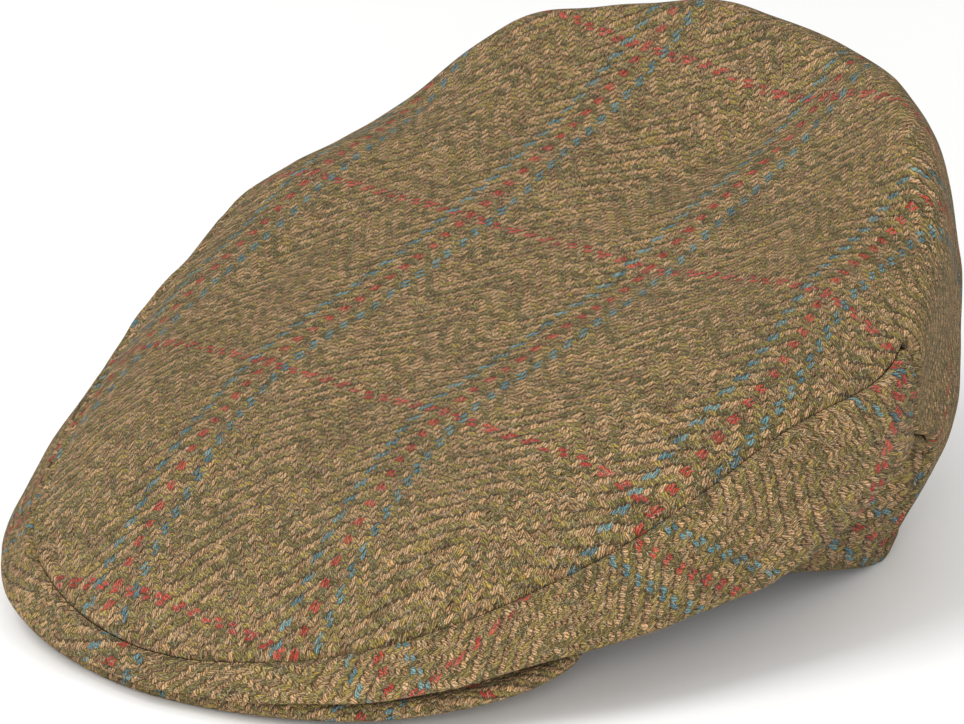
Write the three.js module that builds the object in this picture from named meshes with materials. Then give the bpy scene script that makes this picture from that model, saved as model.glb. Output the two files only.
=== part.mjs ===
// A flat cap of woven wool: a broad sloping top, a side panel that rolls under all round, a stiff peak.
// Millimetres. +Z is up, -Y is the peak, +Y the back of the head, +X the wearer's left.
// The cap lies as it was put down: its hem on the table at the back, the peak's edge at the front.

import * as THREE from "three";

// Driving sizes
const crown_length = 282; // front of the strip to the back of the crown
const crown_width = 232; // across the side panel where it is widest
const crown_height = 127; // back of the crown above the table
const crown_forward = 10; // middle of the crown, in front of the middle of the head opening
const head_length = 189; // head opening, front to back
const head_width = 171; // head opening, side to side
const top_middle = 82.5; // middle of the top above the table
const top_fall = 107; // how far the top falls from its back to its front
const top_sag = 2; // how far the middle of the top hangs below a flat cloth
const peak_length = 148; // middle of the head opening to the front edge of the peak
const peak_width = 190; // across the peak where it is widest
const peak_thickness = 4.6; // board with cloth on both faces
const peak_rise = 9; // climb of the peak from its front edge to the hem
const cloth = 2; // wall of the woven cloth
const seam_gap = 0.3; // clearance between two pieces that are sewn together
const dent_depth = 5; // deepest hollow in the top

// Stations go round one half of the cap: 0 front, 3 side, 4 corner seam at the back, 6 back
const front_station = 0;
const corner_station = 4;
const back_station = 6;
const peak_station = 2; // the hem lies on the peak up to here
const table_station = 4.2; // the hem lies on the table from here

// A profile rolls from the middle of the top down to the hem
const seam_roll = 1;
const fold_roll = 2;
const tuck_roll = 3;
const hem_roll = 4;

// Seam between the top and the side panel. side: share of half the crown's width.
// along: share of half its length, from its middle. high: share of its height, from what lies below.
const seam_rows = [
  { side: 0, along: -0.957, high: 0.053 },
  { side: 0.538, along: -0.824, high: 0.099 },
  { side: 0.845, along: -0.453, high: 0.187 },
  { side: 0.982, along: -0.054, high: 0.401 },
  { side: 1, along: 0.268, high: 0.62 },
  { side: 0.599, along: 0.611, high: 0.945 },
  { side: 0, along: 0.757, high: 1.007 },
];

// Fold: the lowest line of the strip at the front, the fullest line of the sides and the back
const fold_rows = [
  { side: 0, along: -1, high: 0.004 },
  { side: 0.563, along: -0.877, high: 0.016 },
  { side: 0.905, along: -0.532, high: 0.045 },
  { side: 1, along: -0.1, high: 0.12 },
  { side: 0.95, along: 0.345, high: 0.4 },
  { side: 0.595, along: 0.791, high: 0.64 },
  { side: 0, along: 1, high: 0.606 },
];

// Tuck: where the cloth turns in below the fold
const tuck_rows = [
  { side: 0, along: -0.786, high: 0.009 },
  { side: 0.493, along: -0.699, high: 0.013 },
  { side: 0.813, along: -0.422, high: 0.022 },
  { side: 0.8, along: -0.03, high: 0.12 },
  { side: 0.867, along: 0.472, high: 0.29 },
  { side: 0.562, along: 0.759, high: 0.311 },
  { side: 0, along: 0.856, high: 0.325 },
];

// Hem round the head opening. side and along: shares of half its width and half its length.
const hem_rows = [
  { side: 0, along: -0.957 },
  { side: 0.596, along: -0.852 },
  { side: 0.923, along: -0.543 },
  { side: 1.038, along: -0.025 },
  { side: 0.934, along: 0.601 },
  { side: 0.599, along: 0.891 },
  { side: 0, along: 1.018 },
];

// Outer edge of the peak, from its middle to its tip. side: share of half the peak's width.
// along: share of its length.
const peak_rows = [
  { side: 0, along: -1 },
  { side: 0.404, along: -0.961 },
  { side: 0.744, along: -0.862 },
  { side: 0.957, along: -0.7 },
  { side: 1, along: -0.539 },
  { side: 0.891, along: -0.408 },
];

// Hollows and ridges of the slack cloth. side and along: middle, as in the seam's rows.
// turn: degrees from the side direction. long, wide: shares of half the crown's length.
// deep: share of the deepest hollow, below 0 for a ridge.
const dent_rows = [
  { side: 0.17, along: 0.51, turn: 62, long: 0.25, wide: 0.11, deep: 0.9 },
  { side: -0.98, along: 0.2, turn: 5, long: 0.26, wide: 0.16, deep: -0.9 },
  { side: -0.84, along: 0.41, turn: 150, long: 0.2, wide: 0.13, deep: 0.3 },
  { side: -0.64, along: 0.62, turn: 130, long: 0.21, wide: 0.12, deep: -0.64 },
  { side: -0.38, along: 0.76, turn: 110, long: 0.2, wide: 0.13, deep: -0.2 },
  { side: -0.16, along: 0.85, turn: 98, long: 0.21, wide: 0.14, deep: -0.8 },
  { side: 0.05, along: 0.85, turn: 85, long: 0.2, wide: 0.13, deep: -0.2 },
  { side: 0.39, along: 0.74, turn: 60, long: 0.2, wide: 0.13, deep: -0.3 },
  { side: 0.68, along: 0.62, turn: 45, long: 0.2, wide: 0.12, deep: -0.5 },
  { side: 0.8, along: 0.45, turn: 75, long: 0.12, wide: 0.06, deep: 0.37 },
  { side: 0.3, along: 0.08, turn: 65, long: 0.15, wide: 0.06, deep: 0.2 },
  { side: -0.6, along: -0.06, turn: 70, long: 0.12, wide: 0.06, deep: 0.2 },
  { side: -0.23, along: -0.71, turn: 15, long: 0.2, wide: 0.08, deep: 0.2 },
];

// How finely the faces are cut
const steps_per_station = 5;
const steps_per_roll = 4;
const top_rings = 9;
const peak_steps = 24;
const peak_rings = 5;

const seam_power = 6; // how late the top leaves its slope to meet the seam
const loop_tension = 0.5; // how freely a loop bows between its rows
const span_share = 0.5; // direction at a line of the profile, as a share of the way between its neighbours
const probe = 0.01; // step used to find the direction of a face, in stations and rolls

// Plain colours of the cloth
const top_color = 0x8f7a4c;
const side_color = 0x87744a;
const peak_color = 0x7d6b42;
const cloth_roughness = 0.95;

function smooth(value) {
  const share = THREE.MathUtils.clamp(value, 0, 1);
  return share * share * (3 - 2 * share);
}

// The peak's upper face is a plane that climbs from its front edge to the hem
function peakTop(y) {
  const hem_front = (head_length / 2) * hem_rows[front_station].along;
  return peak_thickness + (peak_rise * (y + peak_length)) / (hem_front + peak_length);
}

// How much of the peak's height a station stands on: all of it at the front, none at the back
function groundAt(station, y) {
  const round = 2 * back_station;
  const onwards = THREE.MathUtils.euclideanModulo(station, round);
  const from_front = Math.min(onwards, round - onwards);
  const share = smooth((table_station - from_front) / (table_station - peak_station));
  return share * (peakTop(y) + seam_gap);
}

// Turns a table's rows into the points of one closed loop round the cap
function loopOf(rows, width, length, forward) {
  const half = rows.map(({ side, along, high = 0 }, station) => {
    const x = (side * width) / 2;
    const y = (along * length) / 2 - forward;
    return new THREE.Vector3(x, y, groundAt(station, y) + high * crown_height);
  });
  const other = half.slice(1, back_station).reverse();
  const mirrored = other.map(({ x, y, z }) => new THREE.Vector3(-x, y, z));
  return new THREE.CatmullRomCurve3([...half, ...mirrored], true, "catmullrom", loop_tension);
}

const seam_loop = loopOf(seam_rows, crown_width, crown_length, crown_forward);
const fold_loop = loopOf(fold_rows, crown_width, crown_length, crown_forward);
const tuck_loop = loopOf(tuck_rows, crown_width, crown_length, crown_forward);
const hem_loop = loopOf(hem_rows, head_width, head_length, 0);

function pointOn(loop, station) {
  return loop.getPoint(THREE.MathUtils.euclideanModulo(station / (2 * back_station), 1));
}

// The hem lies on the peak at the front and on the table at the back
function hemAt(station) {
  const hem = pointOn(hem_loop, station);
  hem.z = groundAt(station, hem.y);
  return hem;
}

function hermite(start, end, leave, arrive, share) {
  const square = share * share;
  const cube = square * share;
  return new THREE.Vector3()
    .addScaledVector(start, 2 * cube - 3 * square + 1)
    .addScaledVector(leave, cube - 2 * square + share)
    .addScaledVector(end, 3 * square - 2 * cube)
    .addScaledVector(arrive, cube - square);
}

// Height of the sloping cloth plane of the top
const top_slope = top_fall / crown_length;
function slopeAt(y) {
  return top_middle + top_slope * (y + crown_forward);
}

// Point of the top on the way from its middle (share 0) to the seam (share 1)
function topPoint(seam, share) {
  const x = seam.x * share;
  const y = -crown_forward + (seam.y + crown_forward) * share;
  const rim = seam.z - slopeAt(seam.y);
  return new THREE.Vector3(x, y, slopeAt(y) - top_sag * (1 - share * share) + rim * share ** seam_power);
}

// Direction in which the top reaches the seam, as long as the next roll
function topTangent(seam, fold) {
  const rim = seam.z - slopeAt(seam.y);
  const out = seam.y + crown_forward;
  const climb = top_slope * out + 2 * top_sag + seam_power * rim;
  return new THREE.Vector3(seam.x, out, climb).setLength(seam.distanceTo(fold));
}

function dentAt(x, y) {
  const half = crown_length / 2;
  return dent_rows.reduce((sum, { side, along, turn, long, wide, deep }) => {
    const across = x - (side * crown_width) / 2;
    const ahead = y - along * half + crown_forward;
    const angle = THREE.MathUtils.degToRad(turn);
    const lengthways = (across * Math.cos(angle) + ahead * Math.sin(angle)) / (long * half);
    const sideways = (ahead * Math.cos(angle) - across * Math.sin(angle)) / (wide * half);
    return sum + deep * dent_depth * Math.exp(-(lengthways ** 2) - sideways ** 2);
  }, 0);
}

// Outer face of the cap at a station and a roll
function face(station, roll) {
  const seam = pointOn(seam_loop, station);
  const fold = pointOn(fold_loop, station);
  const tuck = pointOn(tuck_loop, station);
  const hem = hemAt(station);
  const into_fold = tuck.clone().sub(seam).multiplyScalar(span_share);
  const into_tuck = hem.clone().sub(fold).multiplyScalar(span_share);
  const into_hem = hem.clone().sub(tuck);
  let point;
  if (roll <= seam_roll) {
    point = topPoint(seam, roll);
  } else if (roll <= fold_roll) {
    point = hermite(seam, fold, topTangent(seam, fold), into_fold, roll - seam_roll);
  } else if (roll <= tuck_roll) {
    point = hermite(fold, tuck, into_fold, into_tuck, roll - fold_roll);
  } else {
    point = hermite(tuck, hem, into_tuck, into_hem, roll - tuck_roll);
  }
  point.z -= dentAt(point.x, point.y) * smooth(fold_roll - roll);
  return point;
}

function alongStation(station, roll) {
  return face(station + probe, roll).sub(face(station - probe, roll)).divideScalar(2 * probe);
}

function alongRoll(station, roll) {
  const low = Math.max(roll - probe, 0);
  const high = Math.min(roll + probe, hem_roll);
  return face(station, high).sub(face(station, low)).divideScalar(high - low);
}

// Direction out of the cloth. The hem is cut level where it stands on the table.
function normalAt(station, roll) {
  if (roll === 0) {
    return new THREE.Vector3(0, -top_slope, 1).normalize();
  }
  const normal = alongRoll(station, roll).cross(alongStation(station, roll));
  if (roll === hem_roll) {
    normal.z *= hemAt(station).z > 0 ? 1 : 0;
  }
  return normal.normalize();
}

// Half the seam's gap, as a part of a roll or of a station
function seamShareOfRoll(station) {
  return seam_gap / 2 / alongRoll(station, seam_roll).length();
}

function seamShareOfStation(roll) {
  return seam_gap / 2 / alongStation(corner_station, roll).length();
}

// A sheet holds vertices with their directions, and the faces between them
class Sheet {
  constructor() {
    this.points = [];
    this.normals = [];
    this.faces = [];
  }

  add(point, normal) {
    this.normals.push(normal);
    return this.points.push(point) - 1;
  }

  addFace(station, roll) {
    return this.add(face(station, roll), normalAt(station, roll));
  }

  // Joins two rows of vertices that run the same way
  bridge(upper, lower) {
    for (let k = 0; k + 1 < upper.length; k += 1) {
      this.faces.push([upper[k], lower[k], lower[k + 1]]);
      this.faces.push([upper[k], lower[k + 1], upper[k + 1]]);
    }
  }

  // Gives the sheet a thickness inwards and closes it all round its edge
  thicken(thickness) {
    const count = this.points.length;
    const inner = this.points.map((point, k) => point.clone().addScaledVector(this.normals[k], -thickness));
    const corners = this.faces.flat();
    corners.push(...this.faces.flatMap(([a, b, c]) => [a + count, c + count, b + count]));
    const edges = this.faces.flatMap(([a, b, c]) => [[a, b], [b, c], [c, a]]);
    const seen = new Set(edges.map(([from, to]) => `${from},${to}`));
    for (const [from, to] of edges) {
      if (!seen.has(`${to},${from}`)) {
        corners.push(to, from, from + count, to, from + count, to + count);
      }
    }
    const geometry = new THREE.BufferGeometry().setFromPoints([...this.points, ...inner]);
    geometry.setIndex(corners);
    geometry.computeVertexNormals();
    return geometry;
  }
}

function range(first, last, steps) {
  return Array.from({ length: steps + 1 }, (_, k) => first + ((last - first) * k) / steps);
}

// Top: all of it inside the seam, and the back of the crown down to the hem between the corner seams
function makeTopPanel() {
  const sheet = new Sheet();
  const front_steps = 2 * corner_station * steps_per_station;
  const back_steps = 2 * (back_station - corner_station) * steps_per_station;
  const front_stations = range(-corner_station, corner_station, front_steps);
  const backStations = (roll) => {
    const first = corner_station + seamShareOfStation(roll);
    return range(first, 2 * back_station - first, back_steps);
  };
  const middle = sheet.addFace(front_station, 0);
  let previous = [];
  let back_row = [];
  for (let ring = 1; ring <= top_rings; ring += 1) {
    const share = ring / top_rings;
    const front = front_stations.map((s) => sheet.addFace(s, share * (seam_roll - seamShareOfRoll(s))));
    back_row = backStations(seam_roll).map((s) => sheet.addFace(s, share * seam_roll));
    const row = [...front, ...back_row, front[0]];
    if (ring === 1) {
      row.slice(1).forEach((vertex, k) => sheet.faces.push([middle, row[k], vertex]));
    } else {
      sheet.bridge(previous, row);
    }
    previous = row;
  }
  for (const roll of range(seam_roll, hem_roll, (hem_roll - seam_roll) * steps_per_roll).slice(1)) {
    const row = backStations(roll).map((s) => sheet.addFace(s, roll));
    sheet.bridge(back_row, row);
    back_row = row;
  }
  return sheet.thicken(cloth);
}

// Side panel: the strip over the peak and both sides, from the seam over the fold to the hem
function makeSidePanel() {
  const sheet = new Sheet();
  const steps = 2 * corner_station * steps_per_station;
  let previous = [];
  for (const roll of range(seam_roll, hem_roll, (hem_roll - seam_roll) * steps_per_roll)) {
    const last = corner_station - seamShareOfStation(roll);
    const row = range(-last, last, steps).map((station) => {
      const start = roll === seam_roll ? roll + seamShareOfRoll(station) : roll;
      return sheet.addFace(station, start);
    });
    sheet.bridge(previous, row);
    previous = row;
  }
  return sheet.thicken(cloth);
}

// Peak: a crescent board whose inner edge follows the hem and whose outer edge stands out under the strip
function makePeak() {
  const half = peak_rows.map(({ side, along }) => [(side * peak_width) / 2, along * peak_length]);
  const other = half.slice(1).reverse().map(([x, y]) => [-x, y]);
  const edge = new THREE.SplineCurve([...other, ...half].map(([x, y]) => new THREE.Vector2(x, y)));
  const up = new THREE.Vector3(0, 0, 1);
  const sheet = new Sheet();
  let previous = [];
  for (const share of range(0, 1, peak_rings)) {
    const row = range(-1, 1, peak_steps).map((side) => {
      const hem = pointOn(hem_loop, side * peak_station);
      const rim = edge.getPoint((side + 1) / 2);
      const x = THREE.MathUtils.lerp(hem.x, rim.x, share);
      const y = THREE.MathUtils.lerp(hem.y, rim.y, share);
      return sheet.add(new THREE.Vector3(x, y, peakTop(y)), up);
    });
    sheet.bridge(previous, row);
    previous = row;
  }
  return sheet.thicken(peak_thickness);
}

function addPiece(group, name, geometry, color) {
  const cloth_finish = new THREE.MeshStandardMaterial({ color, roughness: cloth_roughness, metalness: 0 });
  const mesh = new THREE.Mesh(geometry, cloth_finish);
  mesh.name = name;
  group.add(mesh);
}

const cap = new THREE.Group();
addPiece(cap, "top_panel", makeTopPanel(), top_color);
addPiece(cap, "side_panel", makeSidePanel(), side_color);
addPiece(cap, "peak", makePeak(), peak_color);

// The origin is the middle of the cap's footprint, on the table
const bounds = new THREE.Box3().setFromObject(cap);
const middle = bounds.getCenter(new THREE.Vector3());
cap.position.set(-middle.x, -middle.y, -bounds.min.z);

export default cap;
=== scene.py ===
import logging
import math
from dataclasses import dataclass, field
from enum import Enum

import bpy
import numpy as np
from mathutils import Matrix, Vector


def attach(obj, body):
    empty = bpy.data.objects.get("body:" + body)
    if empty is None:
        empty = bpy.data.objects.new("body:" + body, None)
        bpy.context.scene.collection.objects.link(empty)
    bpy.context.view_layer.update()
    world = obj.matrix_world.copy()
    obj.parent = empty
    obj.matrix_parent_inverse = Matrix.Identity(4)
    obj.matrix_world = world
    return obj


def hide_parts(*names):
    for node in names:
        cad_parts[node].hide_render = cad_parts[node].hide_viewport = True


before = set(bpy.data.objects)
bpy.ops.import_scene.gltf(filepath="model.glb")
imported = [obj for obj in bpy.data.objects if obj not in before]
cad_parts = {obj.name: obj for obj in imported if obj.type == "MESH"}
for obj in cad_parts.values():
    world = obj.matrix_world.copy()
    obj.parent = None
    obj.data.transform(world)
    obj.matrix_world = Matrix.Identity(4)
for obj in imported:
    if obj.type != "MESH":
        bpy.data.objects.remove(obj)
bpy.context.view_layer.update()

logging.basicConfig(level=logging.INFO, format="%(message)s")
log = logging.getLogger("flat_cap")

MM = 0.001
SEED = 7

# The cap's lines at stations 0 (front), 3 (side), 4 (corner seam) to 6 (back), as in the part's source.
# Columns: side, along, high, as shares of half the width, half the length and the height of the crown.
SEAM_ROWS = (
    (0, -0.957, 0.053), (0.538, -0.824, 0.099), (0.845, -0.453, 0.187), (0.982, -0.054, 0.401),
    (1, 0.268, 0.62), (0.599, 0.611, 0.945), (0, 0.757, 1.007),
)
FOLD_ROWS = (
    (0, -1, 0.004), (0.563, -0.877, 0.016), (0.905, -0.532, 0.045), (1, -0.1, 0.12),
    (0.95, 0.345, 0.4), (0.595, 0.791, 0.64), (0, 1, 0.606),
)
TUCK_ROWS = (
    (0, -0.786, 0.009), (0.493, -0.699, 0.013), (0.813, -0.422, 0.022), (0.8, -0.03, 0.12),
    (0.867, 0.472, 0.29), (0.562, 0.759, 0.311), (0, 0.856, 0.325),
)
HEM_ROWS = (
    (0, -0.957, 0), (0.596, -0.852, 0), (0.923, -0.543, 0), (1.038, -0.025, 0),
    (0.934, 0.601, 0), (0.599, 0.891, 0), (0, 1.018, 0),
)
# Outer edge of the peak. Columns: side, along, as shares of half the peak's width and its length.
PEAK_ROWS = ((0, -1), (0.404, -0.961), (0.744, -0.862), (0.957, -0.7), (1, -0.539), (0.891, -0.408))

# Hollows (deep above 0) and ridges of the slack cloth.
# Columns: side, along, turn in degrees, long, wide, deep, as in the part's source.
DENT_ROWS = (
    (0.17, 0.51, 62, 0.25, 0.11, 0.9), (-0.98, 0.2, 5, 0.26, 0.16, -0.9), (-0.84, 0.41, 150, 0.2, 0.13, 0.3),
    (-0.64, 0.62, 130, 0.21, 0.12, -0.64), (-0.38, 0.76, 110, 0.2, 0.13, -0.2),
    (-0.16, 0.85, 98, 0.21, 0.14, -0.8), (0.05, 0.85, 85, 0.2, 0.13, -0.2), (0.39, 0.74, 60, 0.2, 0.13, -0.3),
    (0.68, 0.62, 45, 0.2, 0.12, -0.5), (0.8, 0.45, 75, 0.12, 0.06, 0.37), (0.3, 0.08, 65, 0.15, 0.06, 0.2),
    (-0.6, -0.06, 70, 0.12, 0.06, 0.2), (-0.23, -0.71, 15, 0.2, 0.08, 0.2),
)

# Grain of the side panel's cloth along the seam. Columns: station, across and along the cloth in mm,
# and the angle in degrees by which the strip has turned from the cloth's threads.
GRAIN_ROWS = ((0, 6, 42, 0), (1, 60, 25, 27), (2, 121, -10, 42), (3, 171, -49, 60), (4, 211, -80, 84))


class Detail(Enum):
    """How finely the cloth is cut into faces, in columns from one station to the next."""

    DRAFT = 16
    FULL = 40


def smooth(value: np.ndarray) -> np.ndarray:
    """Eases a share from 0 to 1 with no corner at either end."""
    share = np.clip(value, 0.0, 1.0)
    return share * share * (3.0 - 2.0 * share)


def bump(distance: np.ndarray, width: float) -> np.ndarray:
    """A rounded rise that is 1 at no distance and fades out over about two widths."""
    return np.exp(-((distance / width) ** 2))


def unit(vectors: np.ndarray) -> np.ndarray:
    """The same directions with length 1."""
    return vectors / np.maximum(np.linalg.norm(vectors, axis=-1, keepdims=True), 1e-9)


def linear(colour: str) -> tuple[float, float, float, float]:
    """Turns an sRGB colour into the linear one that a shader takes.

    Args:
        colour: Six hex digits, such as "8f7a4c".

    Returns:
        Red, green, blue and alpha, linear.
    """
    parts = [int(colour[k : k + 2], 16) / 255 for k in (0, 2, 4)]
    return (*(c / 12.92 if c <= 0.04045 else ((c + 0.055) / 1.055) ** 2.4 for c in parts), 1.0)


@dataclass(frozen=True)
class CapForm:
    """The cap's named sizes, in millimetres, and the outer face of its cloth."""

    crown_length: float = 282.0
    crown_width: float = 232.0
    crown_height: float = 127.0
    crown_forward: float = 10.0
    head_length: float = 189.0
    head_width: float = 171.0
    top_middle: float = 82.5
    top_fall: float = 107.0
    top_sag: float = 2.0
    peak_length: float = 148.0
    peak_width: float = 190.0
    peak_thickness: float = 4.6
    peak_rise: float = 9.0
    cloth: float = 2.0
    seam_gap: float = 0.3
    dent_depth: float = 5.0
    seam_power: float = 6.0
    middle_back: float = 10.515

    def peak_top(self, y: np.ndarray) -> np.ndarray:
        """Height of the peak's upper face."""
        hem_front = self.head_length / 2 * HEM_ROWS[0][1]
        return self.peak_thickness + self.peak_rise * (y + self.peak_length) / (hem_front + self.peak_length)

    def ground(self, station: np.ndarray, y: np.ndarray) -> np.ndarray:
        """How much of the peak's height a station stands on."""
        onwards = np.mod(station, 12.0)
        from_front = np.minimum(onwards, 12.0 - onwards)
        return smooth((4.2 - from_front) / 2.2) * (self.peak_top(y) + self.seam_gap)

    def line(self, rows: tuple, station: np.ndarray, width: float, length: float, forward: float) -> np.ndarray:
        """Points of one closed line round the cap.

        Args:
            rows: The line's table.
            station: Stations, in an array of any shape.
            width: Width that the side shares follow.
            length: Length that the along shares follow.
            forward: How far the line's middle lies in front of the head opening's.

        Returns:
            An array of the stations' shape with x, y and z added.
        """
        table = np.array(rows, dtype=float)
        x = table[:, 0] * width / 2
        y = table[:, 1] * length / 2 - forward
        half = np.stack([x, y, self.ground(np.arange(7.0), y) + table[:, 2] * self.crown_height], 1)
        loop = np.vstack([half, half[1:6][::-1] * (-1, 1, 1)])
        turn = np.mod(station, 12.0)
        first = np.floor(turn).astype(int)
        share = (turn - first)[..., None]
        before, start, end, after = (loop[(first + k) % 12] for k in (-1, 0, 1, 2))
        bend = 2 * before - 5 * start + 4 * end - after + share * (3 * (start - end) + after - before)
        return start + 0.5 * share * (end - before + share * bend)

    def dents(self, x: np.ndarray, y: np.ndarray) -> np.ndarray:
        """Depth of the hollows at a place."""
        half = self.crown_length / 2
        total = np.zeros_like(x)
        for side, along, turn, long, wide, deep in DENT_ROWS:
            across, ahead = x - side * self.crown_width / 2, y - along * half + self.crown_forward
            cos, sin = math.cos(math.radians(turn)), math.sin(math.radians(turn))
            lengthways = (across * cos + ahead * sin) / (long * half)
            sideways = (ahead * cos - across * sin) / (wide * half)
            total += deep * self.dent_depth * np.exp(-(lengthways**2) - sideways**2)
        return total

    def face(self, station: np.ndarray, roll: np.ndarray) -> np.ndarray:
        """Outer face of the cloth.

        Args:
            station: Stations round the cap.
            roll: 0 middle of the top, 1 seam, 2 fold, 3 tuck, 4 hem, in an array of the same shape.

        Returns:
            Points in millimetres, in the part's own frame.
        """
        crown = (self.crown_width, self.crown_length, self.crown_forward)
        seam = self.line(SEAM_ROWS, station, *crown)
        fold = self.line(FOLD_ROWS, station, *crown)
        tuck = self.line(TUCK_ROWS, station, *crown)
        hem = self.line(HEM_ROWS, station, self.head_width, self.head_length, 0.0)
        hem[..., 2] = self.ground(station, hem[..., 1])
        forward, slope = self.crown_forward, self.top_fall / self.crown_length
        out = seam[..., 1] + forward
        rim = seam[..., 2] - self.top_middle - slope * out
        share = np.clip(roll, 0.0, 1.0)
        rise = slope * out * share - self.top_sag * (1 - share**2) + rim * share**self.seam_power
        top = np.stack([seam[..., 0] * share, out * share - forward, self.top_middle + rise], -1)
        climb = slope * out + 2 * self.top_sag + self.seam_power * rim
        leave = unit(np.stack([seam[..., 0], out, climb], -1))
        leave = leave * np.linalg.norm(seam - fold, axis=-1, keepdims=True)
        into_fold, into_tuck, into_hem = (tuck - seam) / 2, (hem - fold) / 2, hem - tuck
        point = top
        spans = ((1, seam, fold, leave, into_fold), (2, fold, tuck, into_fold, into_tuck), (3, tuck, hem, into_tuck, into_hem))
        for first, start, end, away, home in spans:
            t = np.clip(roll - first, 0.0, 1.0)[..., None]
            curve = start * (2 * t**3 - 3 * t**2 + 1) + away * (t**3 - 2 * t**2 + t)
            curve = curve + end * (3 * t**2 - 2 * t**3) + home * (t**3 - t**2)
            point = np.where((roll > first)[..., None], curve, point)
        point[..., 2] -= self.dents(point[..., 0], point[..., 1]) * smooth(2.0 - roll)
        return point

    def directions(self, station: np.ndarray, roll: np.ndarray) -> tuple[np.ndarray, np.ndarray, np.ndarray]:
        """How the cloth runs at a place.

        Args:
            station: Stations round the cap.
            roll: Rolls, in an array of the same shape.

        Returns:
            The way round the cap, the way down its profile, and the way out of the cloth, per station and roll.
        """
        step = 0.01
        low, high = np.maximum(roll - step, 0.002), np.minimum(np.maximum(roll + step, 0.022), 4.0)
        around = (self.face(station + step, roll) - self.face(station - step, roll)) / (2 * step)
        down = (self.face(station, high) - self.face(station, low)) / (high - low)[..., None]
        return around, down, unit(np.cross(down, around))


def ripples(points: np.ndarray, size: float, height: float, seed: int) -> np.ndarray:
    """Soft unevenness of cloth, the same on each run.

    Args:
        points: Places in millimetres.
        size: Typical width of a ripple in millimetres.
        height: Typical height in millimetres.
        seed: Which of many like patterns.

    Returns:
        A height per point.
    """
    rng = np.random.default_rng(seed)
    total = np.zeros(points.shape[:-1])
    for _ in range(14):
        wave = rng.normal(size=3)
        wave *= 2 * math.pi / (size * rng.uniform(0.7, 1.6)) / np.linalg.norm(wave)
        total += np.sin(points @ wave + rng.uniform(0, 2 * math.pi))
    return total * height / math.sqrt(7)


@dataclass
class ClothMesh:
    """Faces of one piece of cloth while it is put together, with a flat place on the cloth for each vertex."""

    points: list = field(default_factory=list)
    flats: list = field(default_factory=list)
    faces: list = field(default_factory=list)
    shown: list = field(default_factory=list)
    count: int = 0

    def add_grid(self, points: np.ndarray, flat: np.ndarray) -> np.ndarray:
        """Adds vertices and returns their numbers in a grid of the same shape."""
        rows, columns = points.shape[:2]
        numbers = np.arange(rows * columns).reshape(rows, columns) + self.count
        self.points.append(points.reshape(-1, 3))
        self.flats.append(flat.reshape(-1, 2))
        self.count += rows * columns
        return numbers

    def weave(self, numbers: np.ndarray, flip: bool = False, shown: bool = False) -> None:
        """Fills a grid of vertex numbers with faces.

        Args:
            numbers: The grid.
            flip: Whether the faces look the other way.
            shown: Whether they are the cloth's right side, which carries the nap.
        """
        quads = np.stack([numbers[:-1, :-1], numbers[:-1, 1:], numbers[1:, 1:], numbers[1:, :-1]], -1).reshape(-1, 4)
        quads = quads[:, ::-1] if flip else quads
        self.faces.append(quads)
        if shown:
            self.shown.append(quads)

    def finish(self, name: str, slot: str, node: str) -> bpy.types.Object:
        """Makes the Blender object of the cloth.

        Args:
            name: The piece's name.
            slot: Name of a material slot of the record; not used.
            node: CAD node that it stands for.

        Returns:
            The piece, riding on the cap.
        """
        quads = np.vstack(self.faces)
        distinct = [[v for k, v in enumerate(q) if v != q[k - 1]] for q in quads.tolist()]
        flat = np.vstack(self.flats)
        mesh = bpy.data.meshes.new(name)
        mesh.from_pydata((np.vstack(self.points) * MM).tolist(), [], distinct)
        layer = mesh.uv_layers.new(name="cloth")
        corners = np.empty(len(mesh.loops), dtype=np.int32)
        mesh.loops.foreach_get("vertex_index", corners)
        layer.data.foreach_set("uv", (flat[corners] / 100.0).ravel())
        mesh.polygons.foreach_set("use_smooth", [True] * len(mesh.polygons))
        mesh.validate()
        piece = bpy.data.objects.new(name, mesh)
        bpy.context.scene.collection.objects.link(piece)
        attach(piece, "root")
        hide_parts(node)
        log.info("%s: %d faces", name, len(mesh.polygons))
        return piece

    def add_nap(self, name: str, hairs: int, finish: bpy.types.Material) -> bpy.types.Object:
        """Stands short loose hairs of wool on the cloth's right side, which soften its outline.

        Args:
            name: The piece's name.
            hairs: How many there are.
            finish: Their material.

        Returns:
            The piece, riding on the cap.
        """
        rng = np.random.default_rng(SEED + hairs)
        points, quads = np.vstack(self.points), np.vstack(self.shown)
        a, b, c, d = (points[quads[:, k]] for k in range(4))
        normal = np.cross(c - a, d - b)
        area = np.linalg.norm(normal, axis=1)
        pick = rng.choice(len(quads), hairs, p=area / area.sum())
        s, t = rng.random((2, hairs, 1))
        root = (a[pick] * (1 - s) + b[pick] * s) * (1 - t) + (d[pick] * (1 - s) + c[pick] * s) * t
        up = unit(normal[pick])
        lie = unit(np.cross(up, rng.normal(size=(hairs, 3))))
        side = np.cross(up, lie) * rng.uniform(0.03, 0.05, (hairs, 1))
        length = rng.uniform(0.7, 2.6, (hairs, 1))
        lift = rng.uniform(0.12, 0.75, (hairs, 1)) ** 1.5
        root = root - up * 0.05
        bend = root + (lie + up * lift * 1.2) * length * 0.5
        tip = bend + (lie + up * lift * rng.uniform(-0.6, 0.8, (hairs, 1))) * length * 0.5
        corners = np.stack([root - side, root + side, bend + side * 0.7, bend - side * 0.7, tip], 1).reshape(-1, 3)
        corners[:, 2] = np.maximum(corners[:, 2], 0.02)
        first = np.arange(hairs)[:, None] * 5
        mesh = bpy.data.meshes.new(name)
        faces = (first + (0, 1, 2, 3)).tolist() + (first + (3, 2, 4)).tolist()
        mesh.from_pydata((corners * MM).tolist(), [], faces)
        mesh.materials.append(finish)
        piece = bpy.data.objects.new(name, mesh)
        bpy.context.scene.collection.objects.link(piece)
        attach(piece, "root")
        log.info("%s: %d hairs", name, hairs)
        return piece


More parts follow.
